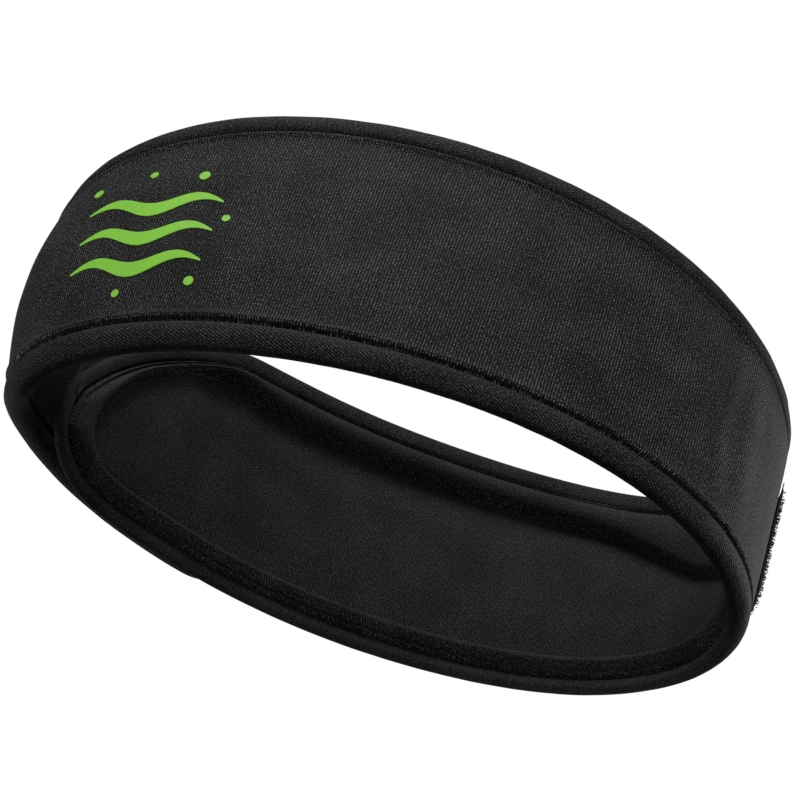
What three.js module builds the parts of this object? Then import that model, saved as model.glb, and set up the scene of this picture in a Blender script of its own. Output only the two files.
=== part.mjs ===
// Swimmer's ear band: a neoprene strap with taped edges that closes into a ring with hook and loop.
// Millimetres, +Z up as worn, printed front towards -Y, closure at the back towards +Y.
// Angle t runs counter-clockwise in plan: 0 is the right turn, 90 the back, 180 the left turn, 270 the front.
import * as THREE from "three";

// Ring in plan, on the middle of the front wall
const HALF_LENGTH = 85.85;
const LENGTH_TRIM = -3.8;
const HALF_DEPTH = 48.5;
const DEPTH_TRIM = -2.2;
const SKEW = 2.1;
const CENTRE_X = 2.1126;
const CENTRE_Y = 1.2135;

// Strap height: tallest at front and back, lowest at the two turns
const HEIGHT = 62.7;
const HEIGHT_WAVE = 5.7;
const HEIGHT_BACK = 0.8;

// The wall bows outwards at the left turn, where it is bent most tightly
const BOW = 3.2;
const BOW_AT = 190;
const BOW_SPREAD = 30;

// Fabric layers, each given as its distance from the middle of the wall
const CORE_HALF = 1.1;
const SKIN_IN = 1.5;
const SKIN_OUT = 2.0;
const PANEL_INSET = 1.3;

// Edge tape: a folded knit tape closed over the cut edge
const TAPE_HALF = 3.2;
const TAPE_SLOT = 2.35;
const TAPE_WIDTH = 5.2;
const TAPE_WALL = 0.9;
const STITCH_FROM_EDGE = 4.5;
const THREAD = 0.4;

// The inner strap runs inside the tab and curls a little at its edges
const STRAP_SHIFT = 5.4;
const EDGE_CURL = 2.2;

// The tab lies outside it, and its bottom edge climbs away from the left turn
const TAB_SHIFT = 2.2;
const TAB_RISE = 7;
const TAB_RISE_FROM = 188;
const TAB_RISE_TO = 156;
const CURL_FROM = 6.5;
const CURL_TO = 10.5;

// Where each body starts and ends, degrees
const TAB_FOLD = 196;
const TAB_END = 105;
const STRAP_FOLD = -16;
const STRAP_END = 160;
const STRAP_TIP_HEIGHT = 21;
const STRAP_TAPER_FROM = 118;
const STRAP_SHOULDER = 0.9;
const STRAP_HEEL_FROM = 136;
const STRAP_HEEL_RISE = 13;
const TAB_CORNER = 12;
const FOLD_GAP = 0.22;
const STEP = 5;

// Hook and loop
const LOOP_FROM = -10;
const LOOP_TO = 138;
const LOOP_THICK = 1.3;
const HOOK_FROM = 111;
const HOOK_TO = 150;
const HOOK_THICK = 1.5;
const PATCH_GAP = 0.2;
const PATCH_INSET = 11.5;
const SELVAGE = 2.2;
const SELVAGE_THICK = 0.5;

// Print on the front, left of the middle
const PRINT_T = 227;
const PRINT_Z = 28.5;
const WAVE_LENGTH = 31;
const WAVE_WIDTH = 3.6;
const WAVE_RISE = 1.6;
const WAVE_PITCH = 8.2;
const PRINT_GAP = 0.12;
const PRINT_THICK = 0.15;

const rad = (degrees) => (degrees * Math.PI) / 180;

function clamp01(u) {
  return Math.min(1, Math.max(0, u));
}

function smooth(from, to, value) {
  const u = clamp01((value - from) / (to - from));
  return u * u * (3 - 2 * u);
}

function planPoint(t) {
  const a = rad(t);
  const x = HALF_LENGTH * Math.cos(a) + LENGTH_TRIM * Math.cos(3 * a);
  const y = HALF_DEPTH * Math.sin(a) + DEPTH_TRIM * Math.sin(3 * a) + SKEW * Math.sin(2 * a);
  return new THREE.Vector2(x + CENTRE_X, y + CENTRE_Y);
}

function planOut(t) {
  const along = planPoint(t + 0.05).sub(planPoint(t - 0.05)).normalize();
  return new THREE.Vector2(along.y, -along.x);
}

function millimetresPerDegree(t) {
  return planPoint(t + 0.5).distanceTo(planPoint(t - 0.5));
}

function height(t) {
  return HEIGHT - HEIGHT_WAVE * Math.cos(2 * rad(t)) + HEIGHT_BACK * Math.sin(rad(t));
}

// How far the wall leans outwards per millimetre of height
function lean(t) {
  const a = rad(t);
  return 0.069 - 0.048 * Math.cos(a) + 0.028 * Math.cos(2 * a) + 0.034 * Math.sin(2 * a);
}

// How far the wall bows outwards between its two edges
function bow(t, z) {
  const turn = (t - BOW_AT) / BOW_SPREAD;
  const level = (2 * z) / height(t) - 1;
  return BOW * Math.exp(-turn * turn) * (1 - level * level);
}

// The three bodies share one wall and differ in how far inside it they run and where they end.
const front = {
  shift: () => 0,
  curl: () => 0,
  low: () => 0,
  high: (t) => height(t),
};

const tab = {
  shift: (t) => TAB_SHIFT * smooth(190, 150, t),
  curl: () => 0,
  low: (t) => tabCorner(t) + TAB_RISE * smooth(TAB_RISE_FROM, TAB_RISE_TO, t),
  high: (t) => height(t) - tabCorner(t),
};

const strap = {
  shift: (t) => -STRAP_SHIFT * smooth(STRAP_FOLD, 84, t),
  curl: (t, z) => {
    const above = (z - strap.low(t)) * levelness(strap.low, t);
    const below = (strap.high(t) - z) * levelness(strap.high, t);
    const edge = 1 - smooth(CURL_FROM, CURL_TO, Math.min(above, below));
    const ease = 1 - 0.7 * smooth(STRAP_TAPER_FROM, STRAP_HEEL_FROM, t);
    return -EDGE_CURL * smooth(STRAP_FOLD, 40, t) * ease * edge;
  },
  low: (t) => {
    const v = clamp01((t - STRAP_HEEL_FROM) / (STRAP_END - STRAP_HEEL_FROM));
    return STRAP_HEEL_RISE * (1 - Math.sqrt(1 - v * v * 0.97));
  },
  high: (t) => {
    const u = clamp01((t - STRAP_TAPER_FROM) / (STRAP_END - STRAP_TAPER_FROM));
    const shoulder = STRAP_SHOULDER * Math.exp(-(((t - STRAP_TAPER_FROM) / 9) ** 2));
    return height(t) + shoulder - (height(t) - STRAP_TIP_HEIGHT) * Math.pow(u, 1.35);
  },
};

// 1 where an edge runs level, towards 0 where it turns up or down
function levelness(edge, t) {
  const slope = (edge(t + 0.5) - edge(t - 0.5)) / millimetresPerDegree(t);
  return 1 / Math.hypot(1, slope);
}

// Rounded corners at the free end of the tab
function tabCorner(t) {
  const run = (t - TAB_END) * millimetresPerDegree(TAB_END);
  const x = clamp01(1 - run / TAB_CORNER);
  return TAB_CORNER * (1 - Math.sqrt(1 - x * x * 0.99));
}

// A point of a body's wall: plan angle, height, and distance outwards from the middle of the wall
function onWall(body, t, z, out) {
  const inside = body.shift(t) + body.curl(t, z);
  const reach = inside + lean(t) * (z - height(t) / 2) + bow(t, z) + out;
  const p = planPoint(t).addScaledVector(planOut(t), reach);
  return new THREE.Vector3(p.x, p.y, z);
}

// Turns every triangle round when the solid came out with its faces pointing inwards
function facedOutwards(geometry) {
  const p = geometry.getAttribute("position");
  const [a, b, c] = [new THREE.Vector3(), new THREE.Vector3(), new THREE.Vector3()];
  let volume = 0;
  for (let i = 0; i < p.count; i += 3) {
    a.fromBufferAttribute(p, i);
    b.fromBufferAttribute(p, i + 1);
    c.fromBufferAttribute(p, i + 2);
    volume += a.dot(b.cross(c));
  }
  if (volume >= 0) return geometry;
  for (let i = 0; i < p.count; i += 3) {
    b.fromBufferAttribute(p, i + 1);
    c.fromBufferAttribute(p, i + 2);
    p.setXYZ(i + 1, c.x, c.y, c.z);
    p.setXYZ(i + 2, b.x, b.y, b.z);
  }
  return geometry;
}

// Extrudes a section over the given number of stations, then moves each point by place(x, y, station)
function sweep(section, count, place) {
  const shape = new THREE.Shape(section.map(([x, y]) => new THREE.Vector2(x, y)));
  const options = { depth: 1, steps: count - 1, bevelEnabled: false };
  const geometry = new THREE.ExtrudeGeometry(shape, options);
  const p = geometry.getAttribute("position");
  for (let i = 0; i < p.count; i++) {
    const station = Math.round(p.getZ(i) * (count - 1));
    const q = place(p.getX(i), p.getY(i), station);
    p.setXYZ(i, q.x, q.y, q.z);
  }
  geometry.computeVertexNormals();
  return facedOutwards(geometry);
}

// Plan angles from one end to the other, closer together over the last stretch
function stations(from, to, fineFrom, fineStep) {
  const list = [from];
  const way = Math.sign(to - from);
  while (Math.abs(to - list[list.length - 1]) > 1e-6) {
    const last = list[list.length - 1];
    const fine = (last - fineFrom) * way >= -1e-6;
    const next = last + way * (fine ? fineStep : STEP);
    const stop = fine || (fineFrom - next) * way > 0 ? next : fineFrom;
    list.push((to - stop) * way <= 0.4 * fineStep ? to : stop);
  }
  return list;
}

const frontStations = stations(TAB_FOLD + FOLD_GAP, 360 + STRAP_FOLD - FOLD_GAP, 400, STEP);
const tabStations = stations(TAB_FOLD - FOLD_GAP, TAB_END, TAB_END + 9, 1.5);
const strapStations = stations(STRAP_FOLD + FOLD_GAP, STRAP_END, STRAP_HEEL_FROM + 4, 2);

function material(color, roughness) {
  return new THREE.MeshStandardMaterial({ color, roughness });
}

function piece(name, geometry, color, roughness) {
  const mesh = new THREE.Mesh(geometry, material(color, roughness));
  mesh.name = name;
  return mesh;
}

// One fabric layer of a body, between two distances from the middle of the wall
function layer(body, list, from, to) {
  const levels = [0, 0.08, 0.12, 0.16, 0.24, 0.36, 0.5, 0.64, 0.76, 0.84, 0.88, 0.92, 1];
  const used = body === strap ? levels : [0, 0.25, 0.5, 0.75, 1];
  const way = Math.sign(list[list.length - 1] - list[0]);
  const section = [...used.map((v) => [from, v]), ...used.map((v) => [to, v]).reverse()];
  return sweep(section, list.length, (out, v, i) => {
    const t = list[i];
    const ahead = t + (way * PANEL_INSET) / millimetresPerDegree(t);
    const low = body.low(ahead) + PANEL_INSET;
    const high = body.high(ahead) - PANEL_INSET;
    return onWall(body, t, low + (high - low) * v, out);
  });
}

// The cut end of a panel stops short of the tape that closes over it
function shortened(list, gap) {
  const end = list[list.length - 1];
  const way = Math.sign(end - list[0]);
  const limit = end - (way * gap) / millimetresPerDegree(end);
  return [...list.filter((t) => (limit - t) * way > 0.3), limit];
}

// Points along the bottom edge, up the free end, and along the top edge; the tape follows them
function bottomPath(body, list, endTo) {
  const path = list.map((t) => ({ t, z: body.low(t) }));
  const end = list[list.length - 1];
  const low = body.low(end);
  for (const share of [0.35, 0.7, 1]) {
    if (endTo > low) path.push({ t: end, z: low + (endTo - low) * share });
  }
  return path;
}

function topPath(body, list) {
  const path = list.map((t) => ({ t, z: body.high(t) }));
  const end = path[path.length - 1];
  path.next = body === tab ? { t: end.t, z: end.z - 1 } : null;
  return path;
}

// Unit directions across the tape, towards the inside of the panel
function inwardAt(path, i, side) {
  const last = i === path.length - 1;
  const a = last && path.next ? path[i] : path[Math.max(0, i - 1)];
  const b = last && path.next ? path.next : path[Math.min(path.length - 1, i + 1)];
  const scale = millimetresPerDegree(path[i].t);
  const way = Math.sign(path[path.length - 1].t - path[0].t) || 1;
  const along = new THREE.Vector2((b.t - a.t) * scale * way, b.z - a.z).normalize();
  return { t: (-along.y * side * way) / scale, z: along.x * side };
}

function alongEdge(body, path, side, section) {
  return sweep(section, path.length, (out, inwards, i) => {
    const direction = inwardAt(path, i, side);
    const t = path[i].t + direction.t * inwards;
    const z = path[i].z + direction.z * inwards;
    const stiff = body.curl(path[i].t, path[i].z) - body.curl(t, z);
    return onWall(body, t, z, out + stiff);
  });
}

// Folded tape: rounded outside, open slot for the panel edge
const tapeSection = [
  [-TAPE_HALF, TAPE_WIDTH],
  [-TAPE_HALF, 1.5],
  [-2.5, 0.4],
  [-1.3, 0],
  [1.3, 0],
  [2.5, 0.4],
  [TAPE_HALF, 1.5],
  [TAPE_HALF, TAPE_WIDTH],
  [TAPE_SLOT, TAPE_WIDTH],
  [TAPE_SLOT, TAPE_WALL],
  [-TAPE_SLOT, TAPE_WALL],
  [-TAPE_SLOT, TAPE_WIDTH],
];

// One row of sewing thread lying on the tape
function threadSection(side) {
  const face = side * (TAPE_HALF + 0.1);
  const top = side * (TAPE_HALF + 0.1 + THREAD);
  const near = STITCH_FROM_EDGE - THREAD / 2;
  const far = STITCH_FROM_EDGE + THREAD / 2;
  const row = [
    [face, near],
    [top, near],
    [top, far],
    [face, far],
  ];
  return side > 0 ? row : row.reverse();
}

const FABRIC = "#26282a";
const LINING = "#1f2122";
const FOAM = "#3a3a3c";
const TAPE = "#2b2d2e";
const SEWING = "#141516";
const PILE = "#111213";
const PRINT = "#7dc242";

function layersOf(body, prefix, list, endGap) {
  const panel = endGap ? shortened(list, endGap) : list;
  return [
    piece(prefix + "_outer_jersey", layer(body, panel, SKIN_IN, SKIN_OUT), FABRIC, 0.9),
    piece(prefix + "_neoprene_core", layer(body, panel, -CORE_HALF, CORE_HALF), FOAM, 0.8),
    piece(prefix + "_inner_lining", layer(body, panel, -SKIN_OUT, -SKIN_IN), LINING, 0.95),
  ];
}

function tapesOf(body, prefix, bottom, top) {
  return [
    piece(prefix + "_bottom_tape", alongEdge(body, bottom, 1, tapeSection), TAPE, 0.9),
    piece(prefix + "_top_tape", alongEdge(body, top, -1, tapeSection), TAPE, 0.9),
  ];
}

function threadsOf(body, prefix, bottom, top) {
  const made = [];
  for (const [edge, path, side] of [["bottom", bottom, 1], ["top", top, -1]]) {
    for (const [face, way] of [["outer", 1], ["inner", -1]]) {
      const geometry = alongEdge(body, path, side, threadSection(way));
      made.push(piece(`${prefix}_${edge}_thread_${face}`, geometry, SEWING, 0.6));
    }
  }
  return made;
}

// Hook or loop patch: a thick field between two thin woven selvages, on one face of a body
function patch(body, face, thick, list, low, high) {
  const base = face * (SKIN_OUT + PATCH_GAP);
  const edge = face * (SKIN_OUT + PATCH_GAP + SELVAGE_THICK);
  const top = face * (SKIN_OUT + PATCH_GAP + thick);
  const section = [
    [base, 0],
    [edge, 0],
    [edge, 1],
    [top, 1],
    [top, 2],
    [edge, 2],
    [edge, 3],
    [base, 3],
  ];
  return sweep(section, list.length, (out, level, i) => {
    const t = list[i];
    const heights = [low(t), low(t) + SELVAGE, high(t) - SELVAGE, high(t)];
    return onWall(body, t, heights[Math.round(level)], out);
  });
}

// A sewing row on a patch's selvage
function patchThread(body, face, list, level) {
  const from = face * (SKIN_OUT + PATCH_GAP + SELVAGE_THICK + 0.08);
  const to = from + face * 0.3;
  const section = [
    [from, -0.25],
    [to, -0.25],
    [to, 0.25],
    [from, 0.25],
  ];
  return sweep(section, list.length, (out, dz, i) => onWall(body, list[i], level(list[i]) + dz, out));
}

function patchNodes(body, prefix, face, thick, from, to) {
  const list = stations(from, to, 400, STEP);
  const low = (t) => body.low(t) + PATCH_INSET / levelness(body.low, t);
  const high = (t) => body.high(t) - PATCH_INSET / levelness(body.high, t);
  const rows = list.map((t, i) => t + (i === 0 ? 0.6 : 0) - (i === list.length - 1 ? 0.6 : 0));
  const lowRow = (t) => low(t) + SELVAGE / 2;
  const highRow = (t) => high(t) - SELVAGE / 2;
  return [
    piece(prefix, patch(body, face, thick, list, low, high), PILE, 1),
    piece(prefix + "_bottom_thread", patchThread(body, face, rows, lowRow), SEWING, 0.6),
    piece(prefix + "_top_thread", patchThread(body, face, rows, highRow), SEWING, 0.6),
  ];
}

// A point of the print: millimetres along and up the front wall, and height above the fabric
function onPrint(x, y, above) {
  const t = PRINT_T + x / millimetresPerDegree(PRINT_T);
  return onWall(front, t, PRINT_Z + y, SKIN_OUT + PRINT_GAP + above);
}

// A wavy band that thins towards both ends
function wave(name, middle) {
  const count = 26;
  const section = [
    [0, -1],
    [PRINT_THICK, -1],
    [PRINT_THICK, 1],
    [0, 1],
  ];
  const geometry = sweep(section, count, (above, edge, i) => {
    const u = i / (count - 1);
    const y = middle + WAVE_RISE * Math.sin(u * 3 * Math.PI);
    const half = (WAVE_WIDTH / 2) * (0.12 + 0.88 * Math.sin(u * Math.PI));
    return onPrint(WAVE_LENGTH * (u - 0.5), y + edge * half, above);
  });
  return piece(name, geometry, PRINT, 0.5);
}

function dot(name, x, y, radius) {
  const sides = 16;
  const outline = Array.from({ length: sides }, (_, i) => {
    const a = (i / sides) * 2 * Math.PI;
    return [x + radius * Math.cos(a), y + radius * Math.sin(a)];
  });
  const geometry = sweep(outline, 2, (u, v, i) => onPrint(u, v, PRINT_THICK * i));
  return piece(name, geometry, PRINT, 0.5);
}

function printNodes() {
  return [
    wave("print_wave_upper", WAVE_PITCH),
    wave("print_wave_middle", 0),
    wave("print_wave_lower", -WAVE_PITCH),
    dot("print_dot_1", -16, 15.5, 1.1),
    dot("print_dot_2", -3, 17.5, 0.9),
    dot("print_dot_3", 9, 16, 1.2),
    dot("print_dot_4", 17.5, 3.5, 0.9),
    dot("print_dot_5", 14.5, -13.5, 1.1),
    dot("print_dot_6", -2, -15.5, 0.9),
  ];
}

// Bar tack: dense stitches that close the tape where its two ends meet at the strap's tip
function barTack() {
  const section = [
    [-TAPE_HALF - 1.0, -0.8],
    [-TAPE_HALF - 0.2, -0.8],
    [-TAPE_HALF - 0.2, 0.8],
    [-TAPE_HALF - 1.0, 0.8],
  ];
  const list = [STRAP_END - 5.6, STRAP_END - 3.2];
  const geometry = sweep(section, 2, (out, dz, i) => {
    const t = list[i];
    const z = STRAP_TIP_HEIGHT - 4.4 + dz;
    const p = planPoint(t).addScaledVector(
      planOut(t),
      strap.shift(t) - 0.3 * EDGE_CURL + lean(t) * (z - height(t) / 2) + bow(t, z) + out,
    );
    return new THREE.Vector3(p.x, p.y, z);
  });
  return piece("strap_tape_bar_tack", geometry, SEWING, 0.7);
}

const frontBottom = bottomPath(front, frontStations, 0);
const frontTop = topPath(front, frontStations);
const tabBottom = bottomPath(tab, tabStations, height(TAB_END) - TAB_CORNER - 0.4);
const tabTop = topPath(tab, tabStations);
const strapBottom = bottomPath(strap, strapStations, STRAP_TIP_HEIGHT - 5.6);
const strapTop = topPath(strap, strapStations);

const headband = new THREE.Group();
headband.name = "swim_ear_band";
headband.add(
  ...layersOf(front, "front", frontStations, 0),
  ...tapesOf(front, "front", frontBottom, frontTop),
  ...threadsOf(front, "front", frontBottom, frontTop),
  ...printNodes(),
  ...layersOf(tab, "tab", tabStations, PANEL_INSET),
  ...tapesOf(tab, "tab", tabBottom, tabTop),
  ...threadsOf(tab, "tab", tabBottom, tabTop),
  ...patchNodes(tab, "hook_patch", -1, HOOK_THICK, HOOK_FROM, HOOK_TO),
  ...layersOf(strap, "strap", strapStations, PANEL_INSET),
  ...tapesOf(strap, "strap", strapBottom, strapTop),
  ...threadsOf(strap, "strap", strapBottom, strapTop),
  ...patchNodes(strap, "loop_patch", 1, LOOP_THICK, LOOP_FROM, LOOP_TO),
  barTack(),
);

export default headband;
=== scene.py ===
# Swimmer's ear band: a neoprene strap with taped edges, closed into a ring by hook and loop.
# Fabric is laid out flat in millimetres, then bent round the ring and written in metres.
import bisect
import functools
import math
import random

import bmesh
import bpy
from mathutils import Matrix, Vector, noise


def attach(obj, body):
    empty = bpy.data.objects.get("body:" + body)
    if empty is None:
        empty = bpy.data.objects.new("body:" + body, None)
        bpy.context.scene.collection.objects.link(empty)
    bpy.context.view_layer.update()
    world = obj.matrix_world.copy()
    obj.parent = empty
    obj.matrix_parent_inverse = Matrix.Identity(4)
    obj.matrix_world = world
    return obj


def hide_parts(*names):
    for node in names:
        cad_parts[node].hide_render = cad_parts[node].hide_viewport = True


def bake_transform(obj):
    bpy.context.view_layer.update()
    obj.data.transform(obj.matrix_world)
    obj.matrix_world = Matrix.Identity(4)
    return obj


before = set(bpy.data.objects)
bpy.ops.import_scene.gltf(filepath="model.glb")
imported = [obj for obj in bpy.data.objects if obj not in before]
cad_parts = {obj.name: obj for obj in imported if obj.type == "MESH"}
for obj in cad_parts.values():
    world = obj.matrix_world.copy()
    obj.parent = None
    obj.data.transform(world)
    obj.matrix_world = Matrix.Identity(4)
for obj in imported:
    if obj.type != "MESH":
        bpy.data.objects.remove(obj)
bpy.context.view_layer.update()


# Camera: long lens, low in front of the band and looking up through the ring.
CAMERA_AZIMUTH = 1.97
CAMERA_ELEVATION = -41.6
CAMERA_ROLL = 20.57
CAMERA_DISTANCE = 0.4487
CAMERA_TARGET = Vector((-0.0001, 0.0014, 0.0392))

azimuth, elevation, roll = (math.radians(a) for a in (CAMERA_AZIMUTH, CAMERA_ELEVATION, CAMERA_ROLL))
outward = Vector((math.sin(azimuth), -math.cos(azimuth), 0))
back = outward * math.cos(elevation) + Vector((0, 0, math.sin(elevation)))
level = Vector((0, 0, 1)).cross(back).normalized()
upright = back.cross(level)
right = math.cos(roll) * level + math.sin(roll) * upright
up = math.cos(roll) * upright - math.sin(roll) * level
lens = bpy.data.cameras.new("camera")
lens.lens = 90
lens.sensor_width = 36
lens.clip_start = 0.01
camera = bpy.data.objects.new("camera", lens)
stand = Matrix.Translation(CAMERA_TARGET + back * CAMERA_DISTANCE)
camera.matrix_world = stand @ Matrix((right, up, back)).transposed().to_4x4()
bpy.context.scene.collection.objects.link(camera)
bpy.context.scene.camera = camera
bpy.context.scene.view_settings.view_transform = "Standard"


# Studio: a pale floor that shows from above only, so that the band can be looked at from below
# too, and that fades into a white surround; soft boxes above the left, in front and behind.
def linear(code):
    """An sRGB hex colour as the linear RGBA that the shaders take."""
    channels = [int(code[i:i + 2], 16) / 255 for i in (1, 3, 5)]
    return [c / 12.92 if c <= 0.04045 else ((c + 0.055) / 1.055) ** 2.4 for c in channels] + [1]


def node(tree, kind, inputs=None, **settings):
    """Adds a node with its settings; an input that is a socket is linked, any other is set."""
    made = tree.nodes.new(kind)
    for key, value in settings.items():
        setattr(made, key, value)
    for key, value in (inputs or {}).items():
        if isinstance(value, bpy.types.NodeSocket):
            tree.links.new(value, made.inputs[key])
        else:
            made.inputs[key].default_value = value
    return made


world = bpy.data.worlds.new("white surround")
world.use_nodes = True
world.node_tree.nodes.clear()
path = node(world.node_tree, "ShaderNodeLightPath")
seen = node(world.node_tree, "ShaderNodeBackground", {"Color": linear("#ffffff"), "Strength": 1.0})
fill = node(world.node_tree, "ShaderNodeBackground", {"Color": linear("#f4f6f8"), "Strength": 0.3})
either = node(world.node_tree, "ShaderNodeMixShader", {
    0: path.outputs["Is Camera Ray"], 1: fill.outputs[0], 2: seen.outputs[0],
})
node(world.node_tree, "ShaderNodeOutputWorld", {"Surface": either.outputs[0]})
bpy.context.scene.world = world


def blank(name):
    """A new material with an empty node tree."""
    material = bpy.data.materials.new(name)
    material.use_nodes = True
    material.node_tree.nodes.clear()
    return material, material.node_tree


FLOOR_REACH, FLOOR_GAP = 3, 0.0006
FLOOR_FADE_FROM, FLOOR_FADE_TO = 0.16, 0.42
floor_paint, tree = blank("pale floor paint")
side = node(tree, "ShaderNodeNewGeometry")
paint = node(tree, "ShaderNodeBsdfDiffuse", {"Color": linear("#e4e4e2")})
clear = node(tree, "ShaderNodeBsdfTransparent")
middle = node(tree, "ShaderNodeTexCoord")
reach = node(tree, "ShaderNodeVectorMath", {0: middle.outputs["Object"]}, operation="LENGTH")
away = node(tree, "ShaderNodeMapRange", {
    "Value": reach.outputs["Value"], "From Min": FLOOR_FADE_FROM, "From Max": FLOOR_FADE_TO,
}, interpolation_type="SMOOTHSTEP")
unseen = node(tree, "ShaderNodeMath", {
    0: side.outputs["Backfacing"], 1: away.outputs[0],
}, operation="MAXIMUM")
both = node(tree, "ShaderNodeMixShader", {0: unseen.outputs[0], 1: paint.outputs[0], 2: clear.outputs[0]})
node(tree, "ShaderNodeOutputMaterial", {"Surface": both.outputs[0]})
bm = bmesh.new()
bmesh.ops.create_grid(bm, x_segments=1, y_segments=1, size=FLOOR_REACH)
bmesh.ops.translate(bm, verts=bm.verts, vec=(0, 0, -FLOOR_GAP))
floor_mesh = bpy.data.meshes.new("floor")
bm.to_mesh(floor_mesh)
bm.free()
floor_mesh.materials.append(floor_paint)
floor = bpy.data.objects.new("floor", floor_mesh)
bpy.context.scene.collection.objects.link(floor)

LAMPS_AIM = Vector((0, 0, 0.03))
for name, place, size, power in (
    ("key", (-0.3, -0.42, 0.85), 0.4, 7),
    ("front fill", (0.2, -1.0, 0.12), 0.5, 2.0),
    ("right rim", (0.6, 0.22, 0.3), 0.3, 2.4),
    ("back", (-0.2, 0.8, 0.6), 0.5, 5),
):
    lamp = bpy.data.lights.new(name, "AREA")
    lamp.size = size
    lamp.energy = power
    light = bpy.data.objects.new(name, lamp)
    aim = (Vector(place) - LAMPS_AIM).to_track_quat("Z", "Y")
    light.matrix_world = Matrix.Translation(place) @ aim.to_matrix().to_4x4()
    bpy.context.scene.collection.objects.link(light)


# Outer jersey: the knitted nylon face of the 4 mm laminate, cut in three lengths: the front, the tab
# that closes over the back from the left, and the strap that runs inside it from the right.
# The lengths meet edge to edge, bend at the two turns, and roll under the binding tape.
HALF_LENGTH, LENGTH_TRIM = 85.85, -3.8
HALF_DEPTH, DEPTH_TRIM, SKEW = 48.5, -2.2, 2.1
CENTRE_X, CENTRE_Y = 2.1126, 1.2135
HEIGHT, HEIGHT_WAVE, HEIGHT_BACK = 62.7, 5.7, 0.8
BOW, BOW_AT, BOW_SPREAD = 3.2, 190, 30
LEAN, LEAN_ACROSS, LEAN_ENDS, LEAN_SKEW = 0.069, 0.048, 0.028, 0.034
STRAP_SHIFT, STRAP_SHIFTED_BY = 5.4, 84
EDGE_CURL, STRAP_CURLED_BY = 2.2, 40
TAB_SHIFT, TAB_SHIFT_FROM, TAB_SHIFT_TO = 2.2, 190, 150
TAB_RISE, TAB_RISE_FROM, TAB_RISE_TO = 7, 196, 152
STRAP_FOLD, STRAP_END, TAB_END = -16, 160, 105
TAPE_WIDTH, STRAP_TAPE_WIDTH, STRAP_TIGHT_BY = 5.2, 3.6, 15
TOP_TIGHT_FROM, TOP_TIGHT_TO = 118, 140
STRAP_TIP_HEIGHT, STRAP_TAPER_FROM, STRAP_TAPER_POWER = 21, 117, 1.7
STRAP_SHOULDER, STRAP_SHOULDER_SPREAD = 1.2, 16
STRAP_HEEL_FROM, STRAP_HEEL_RISE, TAB_CORNER = 136, 13, 12
FRONT_FROM, FRONT_TO = 205, 335
STRAP_START = FRONT_TO - 360
CORNER_ROUND = 6
MM = 0.001


def smooth(start, stop, value):
    """Rises from 0 at start to 1 at stop, level at both ends."""
    u = min(1, max(0, (value - start) / (stop - start)))
    return u * u * (3 - 2 * u)


def plan_point(t):
    """The middle of the wall, seen from above, at plan angle t in degrees."""
    a = math.radians(t)
    x = HALF_LENGTH * math.cos(a) + LENGTH_TRIM * math.cos(3 * a)
    y = HALF_DEPTH * math.sin(a) + DEPTH_TRIM * math.sin(3 * a) + SKEW * math.sin(2 * a)
    return Vector((x + CENTRE_X, y + CENTRE_Y))


@functools.lru_cache(maxsize=None)
def wall(t):
    """At plan angle t: the point, the direction outwards, millimetres per degree, height, lean."""
    along = (plan_point(t + 0.05) - plan_point(t - 0.05)).normalized()
    per_degree = (plan_point(t + 0.5) - plan_point(t - 0.5)).length
    a = math.radians(t)
    lean = LEAN - LEAN_ACROSS * math.cos(a) + LEAN_ENDS * math.cos(2 * a) + LEAN_SKEW * math.sin(2 * a)
    height = HEIGHT - HEIGHT_WAVE * math.cos(2 * a) + HEIGHT_BACK * math.sin(a)
    return plan_point(t), Vector((along.y, -along.x)), per_degree, height, lean


RUN_STEP = 0.25
RUN_FROM = -40
runs = [0.0]
for i in range(int(390 / RUN_STEP)):
    t = RUN_FROM + i * RUN_STEP
    runs.append(runs[-1] + (plan_point(t + RUN_STEP) - plan_point(t)).length)


def run(t):
    """Millimetres along the flat strap at plan angle t."""
    i = min(len(runs) - 2, int((t - RUN_FROM) / RUN_STEP))
    return runs[i] + (runs[i + 1] - runs[i]) * ((t - RUN_FROM) / RUN_STEP - i)


def turn(s):
    """The plan angle at s millimetres along the flat strap."""
    i = min(len(runs) - 2, max(0, bisect.bisect_right(runs, s) - 1))
    return RUN_FROM + RUN_STEP * (i + (s - runs[i]) / (runs[i + 1] - runs[i]))


def tab_corner(t):
    """How much the rounded corners of the tab's free end take off each edge."""
    x = min(1, max(0, 1 - (t - TAB_END) * wall(TAB_END)[2] / TAB_CORNER))
    return TAB_CORNER * (1 - math.sqrt(1 - x * x * 0.99))


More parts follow.
